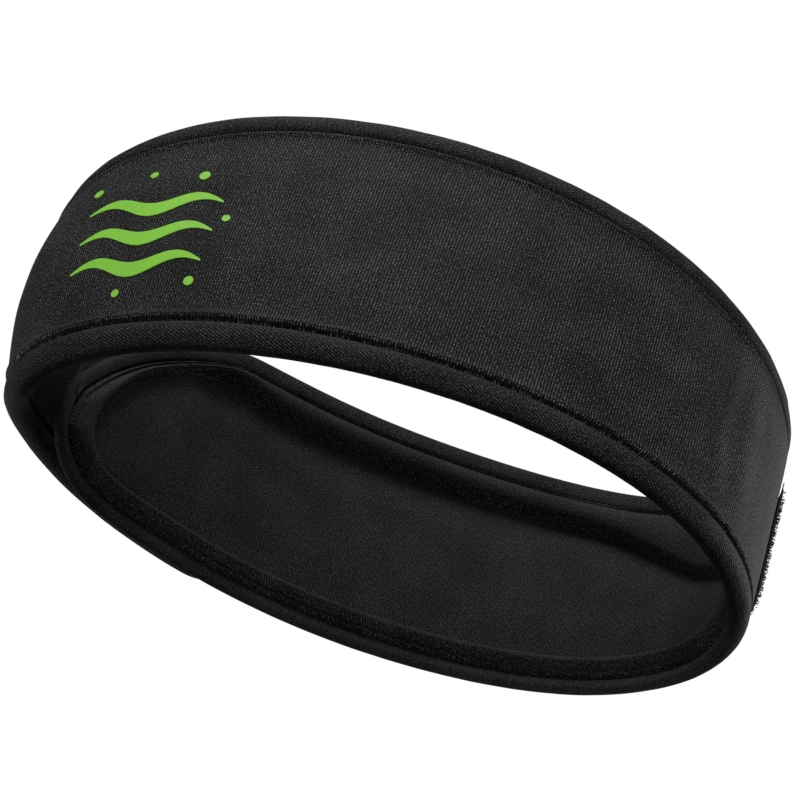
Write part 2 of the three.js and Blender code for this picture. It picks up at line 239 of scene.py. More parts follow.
class Length:
    """One length of the band between plan angles start and stop, with the heights of its two edges."""

    def __init__(self, name, start, stop, low, high, shift, curl, free_end):
        self.name, self.start, self.stop = name, start, stop
        self.low, self.high, self.shift, self.curl = low, high, shift, curl
        self.free_end = free_end

    def tape(self, t, upper):
        """Width of the binding tape at t, along the upper or the lower edge."""
        if self.name != "strap":
            return TAPE_WIDTH
        pulled = smooth(STRAP_START, STRAP_TIGHT_BY, t)
        if upper:
            pulled *= smooth(TOP_TIGHT_FROM, TOP_TIGHT_TO, t)
        return TAPE_WIDTH + (STRAP_TAPE_WIDTH - TAPE_WIDTH) * pulled

    @functools.lru_cache(maxsize=None)
    def edges(self, t):
        """Both edge heights at t, and how level each edge runs there."""
        lows, highs = [[f(t + d) for d in (-2, 0, 2)] for f in (self.low, self.high)]
        flat = [1 / math.hypot(1, (e[2] - e[0]) / (4 * wall(t)[2])) for e in (lows, highs)]
        return lows[1], highs[1], flat[0], flat[1]

    def from_edge(self, t, z):
        """Distance from the nearest edge, rounded where two edges meet."""
        low, high, flat_low, flat_high = self.edges(t)
        near = [(z - low) * flat_low, (high - z) * flat_high]
        if self.free_end is not None:
            near.append(abs(t - self.free_end) * wall(t)[2])
        if min(near) >= CORNER_ROUND:
            return min(near)
        return CORNER_ROUND - math.sqrt(sum(max(CORNER_ROUND - d, 0) ** 2 for d in near))

    def place(self, t, z, out):
        """The point at plan angle t and height z, out millimetres from the middle of the wall."""
        point, outwards, _, height, lean = wall(t)
        bow = BOW * math.exp(-(((t - BOW_AT) / BOW_SPREAD) ** 2)) * (1 - (2 * z / height - 1) ** 2)
        p = point + outwards * (self.shift(t) + lean * (z - height / 2) + bow + out)
        return Vector((p.x * MM, p.y * MM, z * MM))


def full_height(t):
    """Height of the uncut strap at t."""
    return wall(t)[3]


def strap_low(t):
    """Lower edge of the strap: level, then curving up at its heel."""
    v = min(1, max(0, (t - STRAP_HEEL_FROM) / (STRAP_END - STRAP_HEEL_FROM)))
    return STRAP_HEEL_RISE * (1 - math.sqrt(1 - v * v * 0.97))


def strap_high(t):
    """Upper edge of the strap: a slight shoulder, then a long taper to its tip."""
    u = min(1, max(0, (t - STRAP_TAPER_FROM) / (STRAP_END - STRAP_TAPER_FROM)))
    shoulder = STRAP_SHOULDER * math.exp(-(((t - STRAP_TAPER_FROM) / STRAP_SHOULDER_SPREAD) ** 2))
    return full_height(t) + shoulder - (full_height(t) - STRAP_TIP_HEIGHT) * u ** STRAP_TAPER_POWER


def strap_curl(t):
    """How far the edges of the strap lie inside its middle."""
    eased_off = 1 - 0.7 * smooth(STRAP_TAPER_FROM, STRAP_HEEL_FROM, t)
    return -EDGE_CURL * smooth(STRAP_FOLD, STRAP_CURLED_BY, t) * eased_off


front = Length("front", FRONT_FROM, FRONT_TO, lambda t: 0, full_height, lambda t: 0, lambda t: 0, None)
tab = Length(
    "tab", TAB_END, FRONT_FROM,
    lambda t: tab_corner(t) + TAB_RISE * smooth(-TAB_RISE_FROM, -TAB_RISE_TO, -t),
    lambda t: full_height(t) - tab_corner(t),
    lambda t: TAB_SHIFT * smooth(-TAB_SHIFT_FROM, -TAB_SHIFT_TO, -t), lambda t: 0, TAB_END,
)
strap = Length(
    "strap", STRAP_START, STRAP_END, strap_low, strap_high,
    lambda t: -STRAP_SHIFT * smooth(STRAP_FOLD, STRAP_SHIFTED_BY, t), strap_curl, STRAP_END,
)


def finish_piece(bm, name, material, smooth_angle=50):
    """Turns a finished bmesh into an object of the scene, its faces pointing outwards."""
    if bm.calc_volume(signed=True) < 0:
        bmesh.ops.reverse_faces(bm, faces=bm.faces)
    mesh = bpy.data.meshes.new(name)
    bm.to_mesh(mesh)
    bm.free()
    mesh.materials.append(material)
    mesh.shade_smooth()
    mesh.set_sharp_from_angle(angle=math.radians(smooth_angle))
    piece = bpy.data.objects.new(name, mesh)
    bpy.context.scene.collection.objects.link(piece)
    return piece


def closed_strip(name, along, around, place, material, smooth_angle=50):
    """A grid rolled into a tube and capped; place gives each point and its cloth UV."""
    bm = bmesh.new()
    uv = bm.loops.layers.uv.new("cloth")
    bmesh.ops.create_grid(bm, x_segments=along, y_segments=around, size=0.5, calc_uvs=False)
    bm.verts.ensure_lookup_table()
    flat = {}
    for vert in bm.verts:
        vert.co, flat[vert] = place(min(1, max(0, vert.co.x + 0.5)), min(1, max(0, vert.co.y + 0.5)))
    for face in bm.faces:
        for loop in face.loops:
            loop[uv].uv = flat[loop.vert]
    bmesh.ops.remove_doubles(bm, verts=bm.verts, dist=1e-6)
    bmesh.ops.holes_fill(bm, edges=[e for e in bm.edges if e.is_boundary], sides=0)
    bmesh.ops.recalc_face_normals(bm, faces=bm.faces)
    return finish_piece(bm, name, material, smooth_angle)


def rumple(s, z, size, seed):
    """Slow unevenness of the cloth, from -1 to 1."""
    return noise.noise(Vector((s / size, z / size, seed)))


def section(row, rows, back_rows):
    """Rows of a cloth's section: up the face that shows, down its back, and round to the start."""
    if row == rows:
        return 0, 1
    face_rows = rows - back_rows - 1
    if row <= face_rows:
        return row / face_rows, 1
    return (rows - 1 - row) / (back_rows - 1), 0


# Offsets of the cloth UVs, in millimetres, so that no two faces show the same part of the pattern.
BACK_UV, LINING_UV, PATCH_UV = 90, 200, 300
UNDER_TAPE = 0.5
CLOTH_HEIGHT, BACK_SHARE, ROW_CROWDING = 62, 0.16, 0.12


def cloth_layer(length, name, face_out, back_out, material, shift_uv, spacing=0.8):
    """A layer of cloth over one length, tucked under the tapes all round.
    Its rows lie closer together towards both edges, where the seams are."""
    start, stop = length.start, length.stop
    if length is tab:
        start += (TAPE_WIDTH - UNDER_TAPE) / wall(TAB_END)[2]
    if length is strap:
        stop -= (STRAP_TAPE_WIDTH - UNDER_TAPE) / wall(STRAP_END)[2]
    s0, s1 = run(start), run(stop)
    along = round((s1 - s0) / spacing)
    around = round(CLOTH_HEIGHT / spacing / (1 - BACK_SHARE))
    back_rows = round(around * BACK_SHARE)

    def place(a, b):
        t = turn(s0 + (s1 - s0) * a)
        share, shown = section(round(b * around), around, back_rows)
        low, high, flat_low, flat_high = length.edges(t)
        bottom = low + (length.tape(t, False) - UNDER_TAPE) / flat_low
        top = high - (length.tape(t, True) - UNDER_TAPE) / flat_high
        z = bottom + (top - bottom) * (share - ROW_CROWDING * math.sin(2 * math.pi * share))
        edge = length.from_edge(t, z) + TAPE_WIDTH - length.tape(t, share > 0.5)
        out = face_out(t, z, edge) if shown else back_out(t, z, edge)
        return length.place(t, z, out), (s0 + (s1 - s0) * a, z + (0 if shown else BACK_UV) + shift_uv)

    return closed_strip(name, along, around, place, material, smooth_angle=65)


WAVE_BAND = 2 * math.pi / 20


def knit_cloth(name, hollow_shade, light, fibre_glint, wale, course, slope, depth):
    """A knitted face: columns of stitches across rows. Its colour follows the height of the knit: painted
    shade in the hollows and a painted glint on the fibres that stand out of it.
    The real stitches are about 0.45 mm; they are drawn wider so that they show at arm's length."""
    material, tree = blank(name)
    cloth = node(tree, "ShaderNodeUVMap", uv_map="cloth")
    turned = node(tree, "ShaderNodeMapping", {
        "Vector": cloth.outputs[0], "Rotation": (0, 0, math.radians(slope)),
    })
    axes = node(tree, "ShaderNodeSeparateXYZ", {0: turned.outputs[0]})
    across = node(tree, "ShaderNodeMath", {0: axes.outputs["X"], 1: 1 / wale}, operation="MULTIPLY")
    leg = node(tree, "ShaderNodeMath", {0: across.outputs[0], 1: 0.5}, operation="PINGPONG")
    rise = node(tree, "ShaderNodeMath", {
        0: leg.outputs[0], 1: course, 2: axes.outputs["Y"],
    }, operation="MULTIPLY_ADD")
    stitch = node(tree, "ShaderNodeCombineXYZ", {"X": axes.outputs["X"], "Y": rise.outputs[0]})
    uneven = {"Vector": stitch.outputs[0], "Distortion": 0.9, "Detail": 1.0, "Detail Scale": 2.0}
    wales = node(tree, "ShaderNodeTexWave", {**uneven, "Scale": WAVE_BAND / wale}, bands_direction="X")
    courses = node(tree, "ShaderNodeTexWave", {**uneven, "Scale": WAVE_BAND / course}, bands_direction="Y")
    rows = node(tree, "ShaderNodeMath", {0: courses.outputs["Fac"], 1: 0.24}, operation="MULTIPLY")
    knit = node(tree, "ShaderNodeMath", {
        0: wales.outputs["Fac"], 1: 0.3, 2: rows.outputs[0],
    }, operation="MULTIPLY_ADD")
    fibre = node(tree, "ShaderNodeTexNoise", {
        "Vector": cloth.outputs[0], "Scale": 1 / 0.42, "Detail": 2.0, "Roughness": 0.75,
    })
    height = node(tree, "ShaderNodeMath", {
        0: fibre.outputs["Fac"], 1: 1.3, 2: knit.outputs[0],
    }, operation="MULTIPLY_ADD")
    patches = node(tree, "ShaderNodeTexNoise", {"Vector": cloth.outputs[0], "Scale": 1 / 14, "Detail": 2.0})
    tone = node(tree, "ShaderNodeMath", {
        0: patches.outputs["Fac"], 1: 0.16, 2: -0.08,
    }, operation="MULTIPLY_ADD")
    mixed = node(tree, "ShaderNodeMath", {
        0: height.outputs[0], 1: 0.75, 2: tone.outputs[0],
    }, operation="MULTIPLY_ADD")
    # Painted light: the ramp darkens the knit's hollows as painted shade and lightens its raised fibres as a
    # painted glint.
    colours = node(tree, "ShaderNodeValToRGB", {0: mixed.outputs[0]})
    ramp = colours.color_ramp
    ramp.elements[0].position, ramp.elements[0].color = 0.52, linear(hollow_shade)
    ramp.elements[1].position, ramp.elements[1].color = 1.0, linear(fibre_glint)
    middle = ramp.elements.new(0.78)
    middle.color = linear(light)
    relief = node(tree, "ShaderNodeBump", {
        "Strength": 0.6, "Distance": depth * MM, "Height": height.outputs[0],
    })
    rough = node(tree, "ShaderNodeMapRange", {"Value": height.outputs[0], "To Min": 0.95, "To Max": 0.72})
    shader = node(tree, "ShaderNodeBsdfPrincipled", {
        "Base Color": colours.outputs[0], "Roughness": rough.outputs[0], "Normal": relief.outputs[0],
        "IOR": 1.5, "Specular IOR Level": 0.1,
    })
    node(tree, "ShaderNodeOutputMaterial", {"Surface": shader.outputs[0]})
    return material


# Circular-knit nylon: even and matt, with a dry light fleck where the filaments catch the light; the fleck is
# a painted glint, and the darkest colour is painted shade in the knit's hollows.
nylon_jersey = knit_cloth("circular-knit nylon jersey", "#020202", "#161616", "#747478", 0.62, 0.46, 0, 0.2)

WRINKLE_FROM, WRINKLE_TO = 312, 336
FLOOR_OF_SEAM, SEAM_DEPTH = 0.3, 2.0
SEAM_FROM, SEAM_TO = 5.8, 6.5
FLATTENS_FROM = 320
CURL_FROM, CURL_TO = 6.5, 10.5


def curled(curl, edge):
    """The curl of an edge, let out over the first few millimetres of the face."""
    return curl * (1 - smooth(CURL_FROM, CURL_TO, edge))


def jersey_face(t, z, edge):
    """The crowned outer face: a deep seam beside the tape, a rolled edge, then a soft dome."""
    s = run(t)
    roll_up = smooth(SEAM_FROM, SEAM_TO, edge)
    lip = 0.4 * math.exp(-((edge - 6.9) / 0.7) ** 2)
    dome = 0.8 * smooth(6.5, 24, edge)
    wrinkled = smooth(WRINKLE_FROM - 8, WRINKLE_FROM + 6, t)
    wrinkled *= 1 - smooth(WRINKLE_TO - 6, WRINKLE_TO, t)
    folds = 0.2 * wrinkled * math.sin(s / 1.5 + 2.2 * rumple(s, z, 18, 3)) * smooth(6, 22, edge)
    uneven = 0.3 * rumple(s, z, 26, 7) * smooth(5.5, 14, edge)
    relief = (lip + dome + folds + uneven) * (1 - smooth(FLATTENS_FROM, FRONT_TO, t))
    return FLOOR_OF_SEAM + SEAM_DEPTH * roll_up + relief


def strap_jersey_face(t, z, edge):
    """The strap's flatter outer face, with both edges curled towards the head."""
    uneven = 0.1 * rumple(run(t), z, 20, 5) * smooth(STRAP_START, STRAP_FOLD + 4, t)
    seam = FLOOR_OF_SEAM + SEAM_DEPTH * smooth(SEAM_FROM, SEAM_TO, edge)
    return curled(strap_curl(t), edge) + seam + uneven


def jersey_back(t, z, edge):
    """The side that is bonded to the foam, thinning out under the tape."""
    return 0.1 + 1.05 * smooth(6.1, 7.4, edge)


def strap_jersey_back(t, z, edge):
    return jersey_back(t, z, edge) + curled(strap_curl(t), edge)


TAB_BEND = (FRONT_FROM - 4, 183)
STRAP_BEND = (FRONT_TO + 4, 355)


def point_on(t):
    """A point level with plan angle t, moved along the length to the ring's half length on that side."""
    place = front.place(t, 30, 0)
    return math.copysign(HALF_LENGTH * MM, place.x), place.y, place.z


def follow(piece, length):
    """Rides a piece on the front; any other piece only has its transform baked into its mesh."""
    if length is front:
        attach(piece, "front_band")
        return
    body, bend = ("outer_tab", TAB_BEND) if length is tab else ("inner_strap", STRAP_BEND)
    point_on(bend[0])
    point_on(bend[1])
    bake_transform(piece)


for length in (front, tab, strap):
    shown, hidden = (strap_jersey_face, strap_jersey_back) if length is strap else (jersey_face, jersey_back)
    piece = cloth_layer(length, length.name + "_jersey", shown, hidden, nylon_jersey, 0)
    follow(piece, length)
    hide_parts(length.name + "_outer_jersey")


# Foam core: closed-cell neoprene under both faces, about 2 mm thick, cut flush inside the tapes.
# It is soft and springy, and nothing of it shows once the edges are bound.
FOAM_PORE, FOAM_GAP = 0.4, 0.12


def rubber_foam():
    """Closed-cell rubber foam: dull charcoal with fine pores at its cut edge."""
    material, tree = blank("closed-cell neoprene foam")
    here = node(tree, "ShaderNodeTexCoord")
    cells = node(tree, "ShaderNodeTexVoronoi", {
        "Vector": here.outputs["Object"], "Scale": 1 / (FOAM_PORE * MM),
    })
    tint = node(tree, "ShaderNodeMix", {
        0: cells.outputs["Distance"], 6: linear("#1a1a1b"), 7: linear("#343436"),
    }, data_type="RGBA")
    relief = node(tree, "ShaderNodeBump", {
        "Strength": 0.5, "Distance": 0.1 * MM, "Height": cells.outputs["Distance"],
    })
    shader = node(tree, "ShaderNodeBsdfPrincipled", {
        "Base Color": tint.outputs[2], "Roughness": 0.85, "Normal": relief.outputs[0], "IOR": 1.52,
    })
    node(tree, "ShaderNodeOutputMaterial", {"Surface": shader.outputs[0]})
    return material


neoprene_foam = rubber_foam()


def foam_face(side, curl):
    """The outer (1) or the inner (-1) face of the foam, just under the cloth."""
    return lambda t, z, edge: side * (jersey_back(t, z, edge) - FOAM_GAP) + curled(curl(t), edge)


for length in (front, tab, strap):
    faces = foam_face(1, length.curl), foam_face(-1, length.curl)
    piece = cloth_layer(length, length.name + "_foam", *faces, neoprene_foam, 0, spacing=1.6)
    follow(piece, length)
    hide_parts(length.name + "_neoprene_core")


# Inner lining: a soft knitted face against the head. On the strap a border rolls up beside the tape,
# a pressed crease runs inside it, and the main panel lies lower within the crease like a dish.
DISH_START, DISH_END = -3, 150
DISH_CORNER, DISH_FLOOR = 15, 9.0
TOP_MARGIN, MARGIN_BEFORE_TAPER, MARGIN_AT_TURN = 7.5, 6, 15
GROOVE_FROM, GROOVE_TO = 5.5, 6.3
BORDER_FROM = 6.9


def dish(t, z):
    """How far inside the pressed crease a point of the strap lies; negative on the border."""
    per_degree = wall(t)[2]
    low, high, flat_low, flat_high = strap.edges(t)
    margin = TOP_MARGIN + MARGIN_BEFORE_TAPER * (1 - smooth(106, 130, t))
    margin += MARGIN_AT_TURN * (1 - smooth(6, 58, t))
    near = (
        (z - low) * flat_low - DISH_FLOOR,
        (high - z) * (0.35 + 0.65 * flat_high) - margin,
        (DISH_END - t) * per_degree,
        (t - DISH_START) * per_degree,
    )
    if min(near) >= DISH_CORNER:
        return min(near)
    return DISH_CORNER - math.sqrt(sum(max(DISH_CORNER - d, 0) ** 2 for d in near))


def strap_lining_face(t, z, edge):
    """The strap's inner face: groove, ridge and rolled border, then the crease and the dish."""
    inside = dish(t, z)
    border = (1 - smooth(-0.3, 1.2, inside)) * smooth(STRAP_START, STRAP_FOLD + 4, t)
    width = max(2.0, edge - BORDER_FROM - inside)
    across = min(1, max(0, (edge - BORDER_FROM) / width))
    ridge = 0.6 * math.exp(-((edge - 6.3) / 0.5) ** 2)
    rolled = 1.5 * math.sin(math.pi * across) ** 0.8 + 0.7 * smooth(6.6, 8.4, edge)
    crease = 0.75 * math.exp(-((inside - 0.5) / 0.7) ** 2)
    crown = 0.9 * smooth(0.8, 14, inside) + 0.25 * rumple(run(t), z, 24, 11) * smooth(0, 8, inside)
    seam = 0.7 + 1.5 * smooth(GROOVE_FROM, GROOVE_TO, edge)
    return strap_curl(t) * border - seam - (ridge + rolled) * border - crown + crease


def lining_face(t, z, edge):
    """Plain inner face: a seam beside the tape, a rolled edge, then nearly flat."""
    lip = 0.35 * math.exp(-((edge - 6.7) / 0.8) ** 2)
    uneven = 0.15 * rumple(run(t), z, 22, 13) * smooth(6, 12, edge)
    seam = 0.7 + 1.5 * smooth(GROOVE_FROM, GROOVE_TO, edge)
    return -(seam + (lip + uneven) * (1 - smooth(FLATTENS_FROM, FRONT_TO, t)))


def lining_back(t, z, edge):
    return -jersey_back(t, z, edge)


def strap_lining_back(t, z, edge):
    return lining_back(t, z, edge) + curled(strap_curl(t), edge)


# Brushed knit: finer and duller than the outer face, its rows lying at a slant, with the same painted shade
# in its hollows and painted glint on its fibres.
brushed_lining = knit_cloth("brushed knit lining", "#050505", "#1d1d1e", "#626265", 0.58, 0.44, 32, 0.15)

for length in (front, tab, strap):
    shown, hidden = (strap_lining_face, strap_lining_back) if length is strap else (lining_face, lining_back)
    spacing = 0.7 if length is strap else 0.9
    piece = cloth_layer(length, length.name + "_lining", shown, hidden, brushed_lining, LINING_UV, spacing)
    follow(piece, length)
    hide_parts(length.name + "_inner_lining")


# Binding tape: knit tape folded over every cut edge, a flattened bead 5 mm wide and 5 mm thick on
# the front and the tab, pulled tighter on the strap, where both edges also roll towards the head.
# One length runs right round the end of the tab, and one round the strap's heel to its tip.
TAPE_BULGE = 2.5
STRAP_TAPE_SHARE = 0.66
STRAP_TAPE_ROLL = 0.14
TAPE_ROUND = 26
TAPE_SECTION = (
    (TAPE_WIDTH, 0.8), (TAPE_WIDTH + 0.05, 1.7), (4.95, 2.2), (4.3, 2.42), (3.4, TAPE_BULGE), (2.5, 2.45),
    (1.6, 2.25), (0.9, 1.85), (0.4, 1.25), (0.1, 0.6), (0, 0.2),
)


def tape_section():
    """The tape's closed section, as (distance in from the edge, distance out from the middle)."""
    outside = list(TAPE_SECTION)
    inside = [(d, -out) for d, out in reversed(outside)]
    mouth = TAPE_WIDTH - 0.2
    slot = [(mouth, -0.75), (3.0, -0.75), (1.1, -0.4), (1.1, 0.4), (3.0, 0.75), (mouth, 0.75)]
    return outside + inside + slot + [outside[0]]


def resampled(points, spacing):
    """The same path in flat (s, z), in even steps."""
    length = [0]
    for a, b in zip(points, points[1:]):
        length.append(length[-1] + math.dist(a, b))
    count = round(length[-1] / spacing)
    made = []
    for k in range(count + 1):
        want = length[-1] * k / count
        i = min(len(points) - 2, max(0, bisect.bisect_right(length, want) - 1))
        u = (want - length[i]) / max(1e-9, length[i + 1] - length[i])
        made.append(tuple(a + (b - a) * u for a, b in zip(points[i], points[i + 1])))
    return made


def eased(points, rounds):
    """Rounds the corners of a path, keeping its two ends."""
    for _ in range(rounds):
        threes = zip(points, points[1:], points[2:])
        middle = [tuple((a + 2 * b + c) / 4 for a, b, c in zip(*three)) for three in threes]
        points = [points[0], *middle, points[-1]]
    return points


def angles(start, stop):
    """Plan angles one degree apart, closer over the last few degrees at both ends."""
    steps = [start + (stop - start) * i / 180 for i in range(181)]
    return sorted({*steps, *(stop - 0.1 * i for i in range(40)), *(start + 0.1 * i for i in range(40))})


tab_rim = [(run(t), tab.low(t)) for t in reversed(angles(TAB_END, FRONT_FROM))]
tab_rim += [(run(t), tab.high(t)) for t in angles(TAB_END, FRONT_FROM)]
strap_rim = [(run(t), strap.low(t)) for t in angles(STRAP_START, STRAP_END)]
strap_rim += [(run(t), strap.high(t)) for t in reversed(angles(STRAP_START, STRAP_END))]
rims = {
    "front_bottom": (front, [(run(t), 0) for t in angles(FRONT_FROM, FRONT_TO)], 1),
    "front_top": (front, [(run(t), front.high(t)) for t in angles(FRONT_FROM, FRONT_TO)], -1),
    "tab": (tab, tab_rim, -1),
    "strap": (strap, strap_rim, 1),
}
for key, (length, points, side) in rims.items():
    points = eased(resampled(points, 0.5), 50 if length is strap else 12)
    rims[key] = (length, resampled(points, 1.0), side)


def rim_frame(points, side, share):
    """Where a share of the way along a rim is, and the direction from there into the cloth."""
    at = share * (len(points) - 1)
    i = min(len(points) - 2, int(at))
    here = Vector(points[i]).lerp(Vector(points[i + 1]), at - i)
    a, b = Vector(points[max(0, i - 1)]), Vector(points[min(len(points) - 1, i + 2)])
    along = (b - a).normalized()
    return here, Vector((-along.y, along.x)) * side


def on_rim(length, points, side, share, inwards, out):
    """A point of the tape, on the wall of its length; inwards as if the tape had its full width."""
    here, inward = rim_frame(points, side, share)
    t = turn(here.x)
    low, high, _, _ = length.edges(round(t, 2))
    flat = here + inward * inwards * length.tape(t, here.y > (low + high) / 2) / TAPE_WIDTH
    t = turn(flat.x)
    if length is strap:
        roll = STRAP_TAPE_ROLL * max(0, TAPE_WIDTH - inwards) * smooth(STRAP_FOLD, STRAP_CURLED_BY, t)
        out = out * (1 - (1 - STRAP_TAPE_SHARE) * smooth(STRAP_START, STRAP_TIGHT_BY, t)) - roll
    return length.place(t, flat.y, out + length.curl(t))


def tape(name, key, material):
    """One length of tape along a rim, its section swept and a little uneven."""
    length, points, side = rims[key]
    outline = tape_section()
    total = len(points) - 1

    def place(a, b):
        at = b * (len(outline) - 1)
        i = min(len(outline) - 2, int(at))
        d, out = (p + (q - p) * (at - i) for p, q in zip(outline[i], outline[i + 1]))
        plump = 1 + 0.05 * rumple(a * total, b * 9, 5, 17) * smooth(0, 2, TAPE_WIDTH - d)
        return on_rim(length, points, side, a, d, out * plump), (a * total, b * TAPE_ROUND)

    return closed_strip(name, total, len(outline) - 1, place, material, smooth_angle=65)


# Knit tape: the same yarn as the faces, but cut on the slant, so its ribs cross the edge; it has the same
# painted shade in its hollows and painted glint on its fibres.
binding_knit = knit_cloth("knit binding tape", "#030303", "#181818", "#6c6c70", 0.6, 0.46, 58, 0.18)

for name, key, stands_for in (
    ("front_bottom_binding", "front_bottom", ["front_bottom_tape"]),
    ("front_top_binding", "front_top", ["front_top_tape"]),
    ("tab_binding", "tab", ["tab_bottom_tape", "tab_top_tape"]),
    ("strap_binding", "strap", ["strap_bottom_tape", "strap_top_tape"]),
):
    piece = tape(name, key, binding_knit)
    follow(piece, rims[key][0])
    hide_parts(*stands_for)


# Seam stitching: black spun polyester, one row sunk in the groove on each face, where the tape is
# sewn down. The stitches are a little under 1 mm long where they show, and never quite even.
random.seed(310)
STITCH_PITCH = 1.3
STITCH_LENGTH = 0.75
STITCH_RADIUS = 0.15


def polyester_thread():
    """Spun thread: matt black with the turns of its twist."""
    material, tree = blank("spun polyester thread")
    here = node(tree, "ShaderNodeTexCoord")
    twist = node(tree, "ShaderNodeTexNoise", {
        "Vector": here.outputs["Object"], "Scale": 1 / (0.3 * MM), "Detail": 2.0,
    })
    tint = node(tree, "ShaderNodeMix", {
        0: twist.outputs["Fac"], 6: linear("#020202"), 7: linear("#0c0c0d"),
    }, data_type="RGBA")
    relief = node(tree, "ShaderNodeBump", {
        "Strength": 0.5, "Distance": 0.08 * MM, "Height": twist.outputs["Fac"],
    })
    shader = node(tree, "ShaderNodeBsdfPrincipled", {
        "Base Color": tint.outputs[2], "Roughness": 0.7, "Normal": relief.outputs[0], "IOR": 1.53,
    })
    node(tree, "ShaderNodeOutputMaterial", {"Surface": shader.outputs[0]})
    return material


sewing_thread = polyester_thread()


def stitch(bm, start, stop, radius, outwards):
    """One stitch between two points: a small bead drawn out along the thread."""
    along = stop - start
    across = along.cross(outwards).normalized()
    lift = across.cross(along).normalized()
    turned = Matrix((along / 2, across * radius, lift * radius)).transposed().to_4x4()
    bmesh.ops.create_uvsphere(
        bm, u_segments=6, v_segments=5, radius=1,
        matrix=Matrix.Translation((start + stop) / 2) @ turned @ Matrix.Rotation(math.pi / 2, 4, "Y"),
    )


def stitch_row(name, key, way, first, last):
    """A row of stitches in the groove beside a tape, on the outer (1) or the inner (-1) face."""
    length, points, side = rims[key]
    total = len(points) - 1
    bm = bmesh.new()
    at = first * total + 1
    while at < last * total - STITCH_PITCH:
        d = TAPE_WIDTH - 0.05 + random.uniform(-0.12, 0.12)
        slant = 0.35 + random.uniform(-0.2, 0.2)
        long = STITCH_LENGTH * random.uniform(0.7, 1.12)
        ends = [
            on_rim(length, points, side, (at + k * long) / total, d + k * slant, way * (1.85 - 0.8 * k))
            for k in (0, 1)
        ]
        middle = turn(points[int(at)][0])
        stitch(bm, *ends, STITCH_RADIUS * MM, wall(middle)[1].to_3d() * way)
        at += STITCH_PITCH * random.uniform(0.7, 1.3)
    bmesh.ops.recalc_face_normals(bm, faces=bm.faces)
    return finish_piece(bm, name, sewing_thread)


for edge, key, first, last in (
    ("front_bottom", "front_bottom", 0, 1),
    ("front_top", "front_top", 0, 1),
    ("tab_bottom", "tab", 0, 0.5),
    ("tab_top", "tab", 0.5, 1),
    ("strap_bottom", "strap", 0, 0.5),
    ("strap_top", "strap", 0.5, 1),
):
    for face, way in (("outer", 1), ("inner", -1)):
        piece = stitch_row(f"{edge}_seam_{face}", key, way, first, last)
        follow(piece, rims[key][0])
        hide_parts(f"{edge}_thread_{face}")


# Printed film: a thin green heat-transfer film on the left of the front, three wavy bands that taper
# at both ends, with six dots round them. It follows the cloth and is cut with a clean edge.
PRINT_T, PRINT_Z = 227, 28.5
WAVE_LENGTH, WAVE_WIDTH, WAVE_RISE, WAVE_PITCH = 31, 3.6, 1.6, 8.2
FILM = 0.14
DOTS = (
    (-16, 15.5, 1.1), (-3, 17.5, 0.9), (9, 16, 1.2), (17.5, 3.5, 0.9), (14.5, -13.5, 1.1), (-2, -15.5, 0.9),
)


def transfer_film():
    """Heat-transfer film: flat leaf green, satin, with the knit just telling through it."""
    material, tree = blank("heat-transfer film")
    here = node(tree, "ShaderNodeTexCoord")
    through = node(tree, "ShaderNodeTexNoise", {
        "Vector": here.outputs["Object"], "Scale": 1 / (0.5 * MM), "Detail": 2.0,
    })
    uneven = node(tree, "ShaderNodeTexNoise", {
        "Vector": here.outputs["Object"], "Scale": 1 / (9 * MM), "Detail": 1.0,
    })
    tint = node(tree, "ShaderNodeMix", {
        0: uneven.outputs["Fac"], 6: linear("#78bc30"), 7: linear("#82c636"),
    }, data_type="RGBA")
    relief = node(tree, "ShaderNodeBump", {
        "Strength": 0.25, "Distance": 0.06 * MM, "Height": through.outputs["Fac"],
    })
    rough = node(tree, "ShaderNodeMapRange", {"Value": through.outputs["Fac"], "To Min": 0.42, "To Max": 0.6})
    shader = node(tree, "ShaderNodeBsdfPrincipled", {
        "Base Color": tint.outputs[2], "Roughness": rough.outputs[0], "Normal": relief.outputs[0], "IOR": 1.5,
    })
    node(tree, "ShaderNodeOutputMaterial", {"Surface": shader.outputs[0]})
    return material


green_film = transfer_film()


def on_print(x, y, lift):
    """A point of the print, x along and y up from its middle, lifted off the jersey."""
    t = turn(run(PRINT_T) + x)
    z = PRINT_Z + y
    return front.place(t, z, jersey_face(t, z, front.from_edge(t, z)) + lift)


def film_piece(name, shape, stands_for):
    """Lays a flat outline, drawn in millimetres, on the front as a thin closed film."""
    bm = bmesh.new()
    shape(bm)
    walls = bmesh.ops.extrude_face_region(bm, geom=list(bm.faces))
    top = {v for v in walls["geom"] if isinstance(v, bmesh.types.BMVert)}
    for vert in bm.verts:
        vert.co = on_print(vert.co.x, vert.co.y, FILM if vert in top else 0.0)
    bmesh.ops.recalc_face_normals(bm, faces=bm.faces)
    piece = finish_piece(bm, name, green_film, smooth_angle=40)
    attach(piece, "front_band")
    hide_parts(stands_for)


def wave(middle):
    """A wavy band at the given height, drawn out to a thin point at both ends."""
    def shape(bm):
        bmesh.ops.create_grid(bm, x_segments=60, y_segments=8, size=0.5)
        for vert in bm.verts:
            u, v = vert.co.x + 0.5, vert.co.y * 2
            half = WAVE_WIDTH / 2 * (0.12 + 0.88 * math.sin(u * math.pi))
            y = middle + WAVE_RISE * math.sin(u * 3 * math.pi) + v * half
            vert.co = (WAVE_LENGTH * (u - 0.5), y, 0)
    return shape


def dot(x, y, radius):
    def shape(bm):
        bmesh.ops.create_circle(bm, cap_ends=True, cap_tris=True, segments=28, radius=radius)
        bmesh.ops.translate(bm, verts=bm.verts, vec=(x, y, 0))
    return shape


for name, middle in (("upper", WAVE_PITCH), ("middle", 0), ("lower", -WAVE_PITCH)):
    film_piece("film_wave_" + name, wave(middle), "print_wave_" + name)
for i, (x, y, radius) in enumerate(DOTS, 1):
    film_piece(f"film_dot_{i}", dot(x, y, radius), f"print_dot_{i}")


